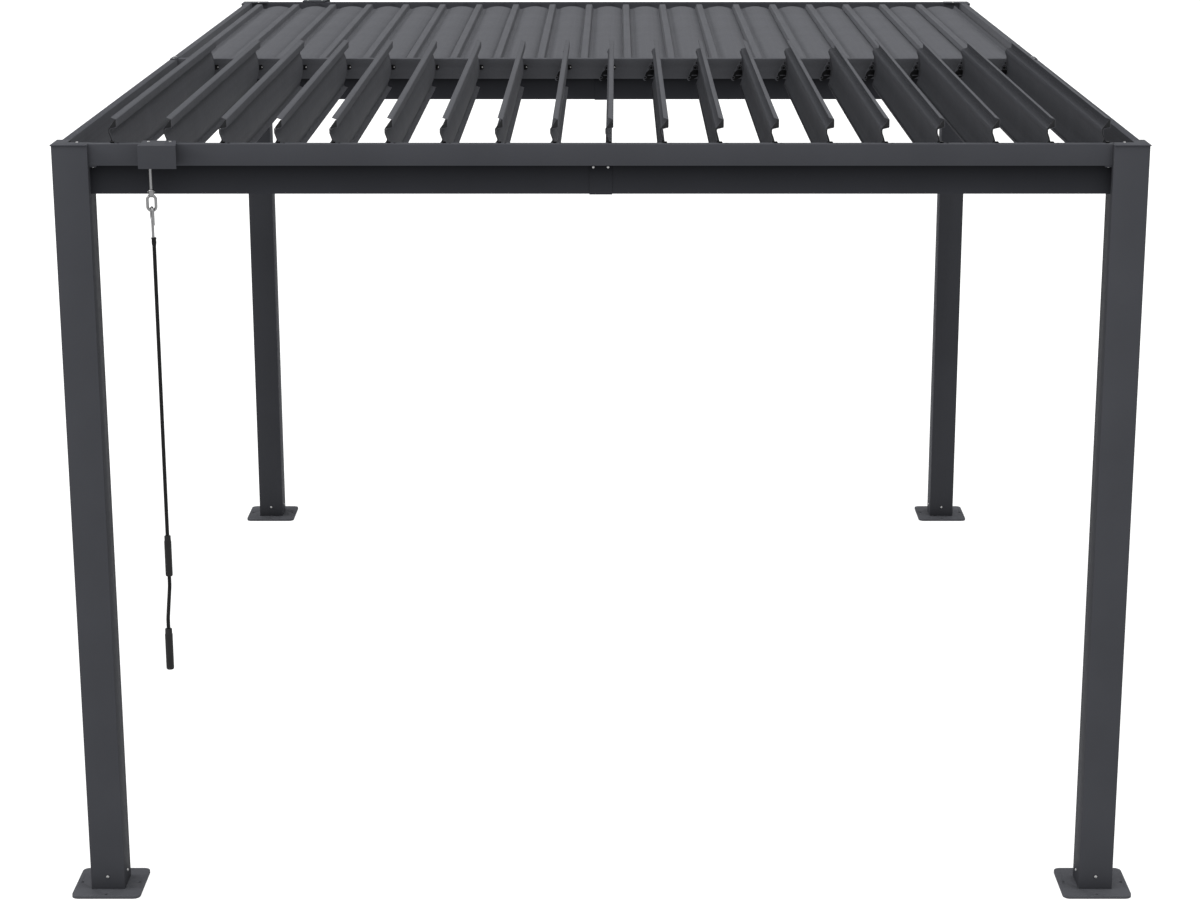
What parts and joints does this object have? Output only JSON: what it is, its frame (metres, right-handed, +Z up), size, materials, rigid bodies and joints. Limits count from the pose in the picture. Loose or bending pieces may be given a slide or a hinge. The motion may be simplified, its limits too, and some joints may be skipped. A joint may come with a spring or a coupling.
{
  "type": "louvered pergola",
  "caption": "Freestanding pergola with a rectangular beam frame on square posts and two rows of tilting roof louvres, one row open and one closed, worked by a hanging crank.",
  "frame": {"origin": "on the ground at the centre of the footprint", "axes": "+X along the width towards the right side, +Y along the depth away from the crank, +Z up"},
  "size_m": [3.154, 4.0977, 2.3145],
  "materials": {
    "frame_coat": "matt anthracite powder coat",
    "louvre_coat": "matt anthracite powder coat",
    "tie_bar_coat": "matt anthracite powder coat",
    "stainless": "brushed stainless",
    "black_coat": "satin black paint",
    "black_plastic": "matt moulded grip"
  },
  "bodies": {
    "frame": {"post_front_left": "frame_coat", "post_front_right": "frame_coat", "post_back_left": "frame_coat", "post_back_right": "frame_coat", "base_plates": "frame_coat", "post_caps": "frame_coat", "front_beam": "frame_coat", "back_beam": "frame_coat", "left_beam": "frame_coat", "right_beam": "frame_coat", "mid_beam": "frame_coat", "splice_sleeves": "frame_coat", "beam_brackets": "frame_coat", "gearboxes": "frame_coat"},
    "front_louvre_01": {"front_louvre_01": "louvre_coat"},
    "front_louvre_02": {"front_louvre_02": "louvre_coat"},
    "front_louvre_03": {"front_louvre_03": "louvre_coat"},
    "front_louvre_04": {"front_louvre_04": "louvre_coat"},
    "front_louvre_05": {"front_louvre_05": "louvre_coat"},
    "front_louvre_06": {"front_louvre_06": "louvre_coat"},
    "front_louvre_07": {"front_louvre_07": "louvre_coat"},
    "front_louvre_08": {"front_louvre_08": "louvre_coat"},
    "front_louvre_09": {"front_louvre_09": "louvre_coat"},
    "front_louvre_10": {"front_louvre_10": "louvre_coat"},
    "front_louvre_11": {"front_louvre_11": "louvre_coat"},
    "front_louvre_12": {"front_louvre_12": "louvre_coat"},
    "front_louvre_13": {"front_louvre_13": "louvre_coat"},
    "front_louvre_14": {"front_louvre_14": "louvre_coat"},
    "front_louvre_15": {"front_louvre_15": "louvre_coat"},
    "front_louvre_16": {"front_louvre_16": "louvre_coat"},
    "front_louvre_17": {"front_louvre_17": "louvre_coat"},
    "front_louvre_18": {"front_louvre_18": "louvre_coat"},
    "front_louvre_19": {"front_louvre_19": "louvre_coat"},
    "back_louvre_01": {"back_louvre_01": "louvre_coat"},
    "back_louvre_02": {"back_louvre_02": "louvre_coat"},
    "back_louvre_03": {"back_louvre_03": "louvre_coat"},
    "back_louvre_04": {"back_louvre_04": "louvre_coat"},
    "back_louvre_05": {"back_louvre_05": "louvre_coat"},
    "back_louvre_06": {"back_louvre_06": "louvre_coat"},
    "back_louvre_07": {"back_louvre_07": "louvre_coat"},
    "back_louvre_08": {"back_louvre_08": "louvre_coat"},
    "back_louvre_09": {"back_louvre_09": "louvre_coat"},
    "back_louvre_10": {"back_louvre_10": "louvre_coat"},
    "back_louvre_11": {"back_louvre_11": "louvre_coat"},
    "back_louvre_12": {"back_louvre_12": "louvre_coat"},
    "back_louvre_13": {"back_louvre_13": "louvre_coat"},
    "back_louvre_14": {"back_louvre_14": "louvre_coat"},
    "back_louvre_15": {"back_louvre_15": "louvre_coat"},
    "back_louvre_16": {"back_louvre_16": "louvre_coat"},
    "back_louvre_17": {"back_louvre_17": "louvre_coat"},
    "back_louvre_18": {"back_louvre_18": "louvre_coat"},
    "back_louvre_19": {"back_louvre_19": "louvre_coat"},
    "front_tie_bar": {"front_tie_bar": "tie_bar_coat"},
    "back_tie_bar": {"back_tie_bar": "tie_bar_coat"},
    "front_crank_eye": {"front_crank_eye": "stainless"},
    "back_crank_eye": {"back_crank_eye": "stainless"},
    "crank": {"crank_hook": "stainless", "crank_rod": "black_coat", "crank_grips": "black_plastic"}
  },
  "joints": [
    {"name": "front_louvre_02_tilt", "type": "hinge", "parent": "frame", "child": "front_louvre_02", "pos_m": [-1.22, -0.97, 2.2165], "axis": [0, 1, 0], "range_deg": [-90, 0]},
    {"name": "front_louvre_01_tilt", "type": "hinge", "parent": "frame", "child": "front_louvre_01", "pos_m": [-1.374, -0.97, 2.2165], "axis": [0, 1, 0], "range_deg": [-90, 0]},
    {"name": "front_louvre_03_tilt", "type": "hinge", "parent": "frame", "child": "front_louvre_03", "pos_m": [-1.066, -0.97, 2.2165], "axis": [0, 1, 0], "range_deg": [-90, 0]},
    {"name": "front_louvre_04_tilt", "type": "hinge", "parent": "frame", "child": "front_louvre_04", "pos_m": [-0.912, -0.97, 2.2165], "axis": [0, 1, 0], "range_deg": [-90, 0]},
    {"name": "front_louvre_05_tilt", "type": "hinge", "parent": "frame", "child": "front_louvre_05", "pos_m": [-0.758, -0.97, 2.2165], "axis": [0, 1, 0], "range_deg": [-90, 0]},
    {"name": "front_louvre_06_tilt", "type": "hinge", "parent": "frame", "child": "front_louvre_06", "pos_m": [-0.604, -0.97, 2.2165], "axis": [0, 1, 0], "range_deg": [-90, 0]},
    {"name": "front_louvre_07_tilt", "type": "hinge", "parent": "frame", "child": "front_louvre_07", "pos_m": [-0.45, -0.97, 2.2165], "axis": [0, 1, 0], "range_deg": [-90, 0]},
    {"name": "front_louvre_08_tilt", "type": "hinge", "parent": "frame", "child": "front_louvre_08", "pos_m": [-0.296, -0.97, 2.2165], "axis": [0, 1, 0], "range_deg": [-90, 0]},
    {"name": "front_louvre_09_tilt", "type": "hinge", "parent": "frame", "child": "front_louvre_09", "pos_m": [-0.142, -0.97, 2.2165], "axis": [0, 1, 0], "range_deg": [-90, 0]},
    {"name": "front_louvre_10_tilt", "type": "hinge", "parent": "frame", "child": "front_louvre_10", "pos_m": [0.012, -0.97, 2.2165], "axis": [0, 1, 0], "range_deg": [-90, 0]},
    {"name": "front_louvre_11_tilt", "type": "hinge", "parent": "frame", "child": "front_louvre_11", "pos_m": [0.166, -0.97, 2.2165], "axis": [0, 1, 0], "range_deg": [-90, 0]},
    {"name": "front_louvre_12_tilt", "type": "hinge", "parent": "frame", "child": "front_louvre_12", "pos_m": [0.32, -0.97, 2.2165], "axis": [0, 1, 0], "range_deg": [-90, 0]},
    {"name": "front_louvre_13_tilt", "type": "hinge", "parent": "frame", "child": "front_louvre_13", "pos_m": [0.474, -0.97, 2.2165], "axis": [0, 1, 0], "range_deg": [-90, 0]},
    {"name": "front_louvre_14_tilt", "type": "hinge", "parent": "frame", "child": "front_louvre_14", "pos_m": [0.628, -0.97, 2.2165], "axis": [0, 1, 0], "range_deg": [-90, 0]},
    {"name": "front_louvre_15_tilt", "type": "hinge", "parent": "frame", "child": "front_louvre_15", "pos_m": [0.782, -0.97, 2.2165], "axis": [0, 1, 0], "range_deg": [-90, 0]},
    {"name": "front_louvre_16_tilt", "type": "hinge", "parent": "frame", "child": "front_louvre_16", "pos_m": [0.936, -0.97, 2.2165], "axis": [0, 1, 0], "range_deg": [-90, 0]},
    {"name": "front_louvre_17_tilt", "type": "hinge", "parent": "frame", "child": "front_louvre_17", "pos_m": [1.09, -0.97, 2.2165], "axis": [0, 1, 0], "range_deg": [-90, 0]},
    {"name": "front_louvre_18_tilt", "type": "hinge", "parent": "frame", "child": "front_louvre_18", "pos_m": [1.244, -0.97, 2.2165], "axis": [0, 1, 0], "range_deg": [-90, 0]},
    {"name": "front_louvre_19_tilt", "type": "hinge", "parent": "frame", "child": "front_louvre_19", "pos_m": [1.398, -0.97, 2.2165], "axis": [0, 1, 0], "range_deg": [-90, 0]},
    {"name": "back_louvre_02_tilt", "type": "hinge", "parent": "frame", "child": "back_louvre_02", "pos_m": [-1.22, 0.97, 2.2165], "axis": [0, 1, 0], "range_deg": [0, 90]},
    {"name": "back_louvre_01_tilt", "type": "hinge", "parent": "frame", "child": "back_louvre_01", "pos_m": [-1.374, 0.97, 2.2165], "axis": [0, 1, 0], "range_deg": [0, 90]},
    {"name": "back_louvre_03_tilt", "type": "hinge", "parent": "frame", "child": "back_louvre_03", "pos_m": [-1.066, 0.97, 2.2165], "axis": [0, 1, 0], "range_deg": [0, 90]},
    {"name": "back_louvre_04_tilt", "type": "hinge", "parent": "frame", "child": "back_louvre_04", "pos_m": [-0.912, 0.97, 2.2165], "axis": [0, 1, 0], "range_deg": [0, 90]},
    {"name": "back_louvre_05_tilt", "type": "hinge", "parent": "frame", "child": "back_louvre_05", "pos_m": [-0.758, 0.97, 2.2165], "axis": [0, 1, 0], "range_deg": [0, 90]},
    {"name": "back_louvre_06_tilt", "type": "hinge", "parent": "frame", "child": "back_louvre_06", "pos_m": [-0.604, 0.97, 2.2165], "axis": [0, 1, 0], "range_deg": [0, 90]},
    {"name": "back_louvre_07_tilt", "type": "hinge", "parent": "frame", "child": "back_louvre_07", "pos_m": [-0.45, 0.97, 2.2165], "axis": [0, 1, 0], "range_deg": [0, 90]},
    {"name": "back_louvre_08_tilt", "type": "hinge", "parent": "frame", "child": "back_louvre_08", "pos_m": [-0.296, 0.97, 2.2165], "axis": [0, 1, 0], "range_deg": [0, 90]},
    {"name": "back_louvre_09_tilt", "type": "hinge", "parent": "frame", "child": "back_louvre_09", "pos_m": [-0.142, 0.97, 2.2165], "axis": [0, 1, 0], "range_deg": [0, 90]},
    {"name": "back_louvre_10_tilt", "type": "hinge", "parent": "frame", "child": "back_louvre_10", "pos_m": [0.012, 0.97, 2.2165], "axis": [0, 1, 0], "range_deg": [0, 90]},
    {"name": "back_louvre_11_tilt", "type": "hinge", "parent": "frame", "child": "back_louvre_11", "pos_m": [0.166, 0.97, 2.2165], "axis": [0, 1, 0], "range_deg": [0, 90]},
    {"name": "back_louvre_12_tilt", "type": "hinge", "parent": "frame", "child": "back_louvre_12", "pos_m": [0.32, 0.97, 2.2165], "axis": [0, 1, 0], "range_deg": [0, 90]},
    {"name": "back_louvre_13_tilt", "type": "hinge", "parent": "frame", "child": "back_louvre_13", "pos_m": [0.474, 0.97, 2.2165], "axis": [0, 1, 0], "range_deg": [0, 90]},
    {"name": "back_louvre_14_tilt", "type": "hinge", "parent": "frame", "child": "back_louvre_14", "pos_m": [0.628, 0.97, 2.2165], "axis": [0, 1, 0], "range_deg": [0, 90]},
    {"name": "back_louvre_15_tilt", "type": "hinge", "parent": "frame", "child": "back_louvre_15", "pos_m": [0.782, 0.97, 2.2165], "axis": [0, 1, 0], "range_deg": [0, 90]},
    {"name": "back_louvre_16_tilt", "type": "hinge", "parent": "frame", "child": "back_louvre_16", "pos_m": [0.936, 0.97, 2.2165], "axis": [0, 1, 0], "range_deg": [0, 90]},
    {"name": "back_louvre_17_tilt", "type": "hinge", "parent": "frame", "child": "back_louvre_17", "pos_m": [1.09, 0.97, 2.2165], "axis": [0, 1, 0], "range_deg": [0, 90]},
    {"name": "back_louvre_18_tilt", "type": "hinge", "parent": "frame", "child": "back_louvre_18", "pos_m": [1.244, 0.97, 2.2165], "axis": [0, 1, 0], "range_deg": [0, 90]},
    {"name": "back_louvre_19_tilt", "type": "hinge", "parent": "frame", "child": "back_louvre_19", "pos_m": [1.398, 0.97, 2.2165], "axis": [0, 1, 0], "range_deg": [0, 90]},
    {"name": "front_tie_bar_pin", "type": "hinge", "parent": "front_louvre_02", "child": "front_tie_bar", "pos_m": [-1.2425, -1.93325, 2.1769], "axis": [0, 1, 0], "range_deg": [0, 90]},
    {"name": "back_tie_bar_pin", "type": "hinge", "parent": "back_louvre_02", "child": "back_tie_bar", "pos_m": [-1.1804, 1.93325, 2.194], "axis": [0, 1, 0], "range_deg": [-90, 0]},
    {"name": "front_crank_eye_turn", "type": "hinge", "parent": "frame", "child": "front_crank_eye", "pos_m": [-1.2485, -2.001, 2.15], "axis": [0, 0, 1], "continuous": true},
    {"name": "back_crank_eye_turn", "type": "hinge", "parent": "frame", "child": "back_crank_eye", "pos_m": [-1.2485, 2.001, 2.15], "axis": [0, 0, 1], "continuous": true},
    {"name": "crank_swing", "type": "hinge", "parent": "front_crank_eye", "child": "crank", "pos_m": [-1.2485, -2.001, 2.065], "axis": [1, 0, 0], "range_deg": [-45, 45]}
  ],
  "couplings": [
    {"joint": "front_louvre_01_tilt", "follows": "front_louvre_02_tilt", "ratio": 1},
    {"joint": "front_louvre_03_tilt", "follows": "front_louvre_02_tilt", "ratio": 1},
    {"joint": "front_louvre_04_tilt", "follows": "front_louvre_02_tilt", "ratio": 1},
    {"joint": "front_louvre_05_tilt", "follows": "front_louvre_02_tilt", "ratio": 1},
    {"joint": "front_louvre_06_tilt", "follows": "front_louvre_02_tilt", "ratio": 1},
    {"joint": "front_louvre_07_tilt", "follows": "front_louvre_02_tilt", "ratio": 1},
    {"joint": "front_louvre_08_tilt", "follows": "front_louvre_02_tilt", "ratio": 1},
    {"joint": "front_louvre_09_tilt", "follows": "front_louvre_02_tilt", "ratio": 1},
    {"joint": "front_louvre_10_tilt", "follows": "front_louvre_02_tilt", "ratio": 1},
    {"joint": "front_louvre_11_tilt", "follows": "front_louvre_02_tilt", "ratio": 1},
    {"joint": "front_louvre_12_tilt", "follows": "front_louvre_02_tilt", "ratio": 1},
    {"joint": "front_louvre_13_tilt", "follows": "front_louvre_02_tilt", "ratio": 1},
    {"joint": "front_louvre_14_tilt", "follows": "front_louvre_02_tilt", "ratio": 1},
    {"joint": "front_louvre_15_tilt", "follows": "front_louvre_02_tilt", "ratio": 1},
    {"joint": "front_louvre_16_tilt", "follows": "front_louvre_02_tilt", "ratio": 1},
    {"joint": "front_louvre_17_tilt", "follows": "front_louvre_02_tilt", "ratio": 1},
    {"joint": "front_louvre_18_tilt", "follows": "front_louvre_02_tilt", "ratio": 1},
    {"joint": "front_louvre_19_tilt", "follows": "front_louvre_02_tilt", "ratio": 1},
    {"joint": "back_louvre_01_tilt", "follows": "back_louvre_02_tilt", "ratio": 1},
    {"joint": "back_louvre_03_tilt", "follows": "back_louvre_02_tilt", "ratio": 1},
    {"joint": "back_louvre_04_tilt", "follows": "back_louvre_02_tilt", "ratio": 1},
    {"joint": "back_louvre_05_tilt", "follows": "back_louvre_02_tilt", "ratio": 1},
    {"joint": "back_louvre_06_tilt", "follows": "back_louvre_02_tilt", "ratio": 1},
    {"joint": "back_louvre_07_tilt", "follows": "back_louvre_02_tilt", "ratio": 1},
    {"joint": "back_louvre_08_tilt", "follows": "back_louvre_02_tilt", "ratio": 1},
    {"joint": "back_louvre_09_tilt", "follows": "back_louvre_02_tilt", "ratio": 1},
    {"joint": "back_louvre_10_tilt", "follows": "back_louvre_02_tilt", "ratio": 1},
    {"joint": "back_louvre_11_tilt", "follows": "back_louvre_02_tilt", "ratio": 1},
    {"joint": "back_louvre_12_tilt", "follows": "back_louvre_02_tilt", "ratio": 1},
    {"joint": "back_louvre_13_tilt", "follows": "back_louvre_02_tilt", "ratio": 1},
    {"joint": "back_louvre_14_tilt", "follows": "back_louvre_02_tilt", "ratio": 1},
    {"joint": "back_louvre_15_tilt", "follows": "back_louvre_02_tilt", "ratio": 1},
    {"joint": "back_louvre_16_tilt", "follows": "back_louvre_02_tilt", "ratio": 1},
    {"joint": "back_louvre_17_tilt", "follows": "back_louvre_02_tilt", "ratio": 1},
    {"joint": "back_louvre_18_tilt", "follows": "back_louvre_02_tilt", "ratio": 1},
    {"joint": "back_louvre_19_tilt", "follows": "back_louvre_02_tilt", "ratio": 1},
    {"joint": "front_tie_bar_pin", "follows": "front_louvre_02_tilt", "ratio": -1},
    {"joint": "back_tie_bar_pin", "follows": "back_louvre_02_tilt", "ratio": -1}
  ]
}
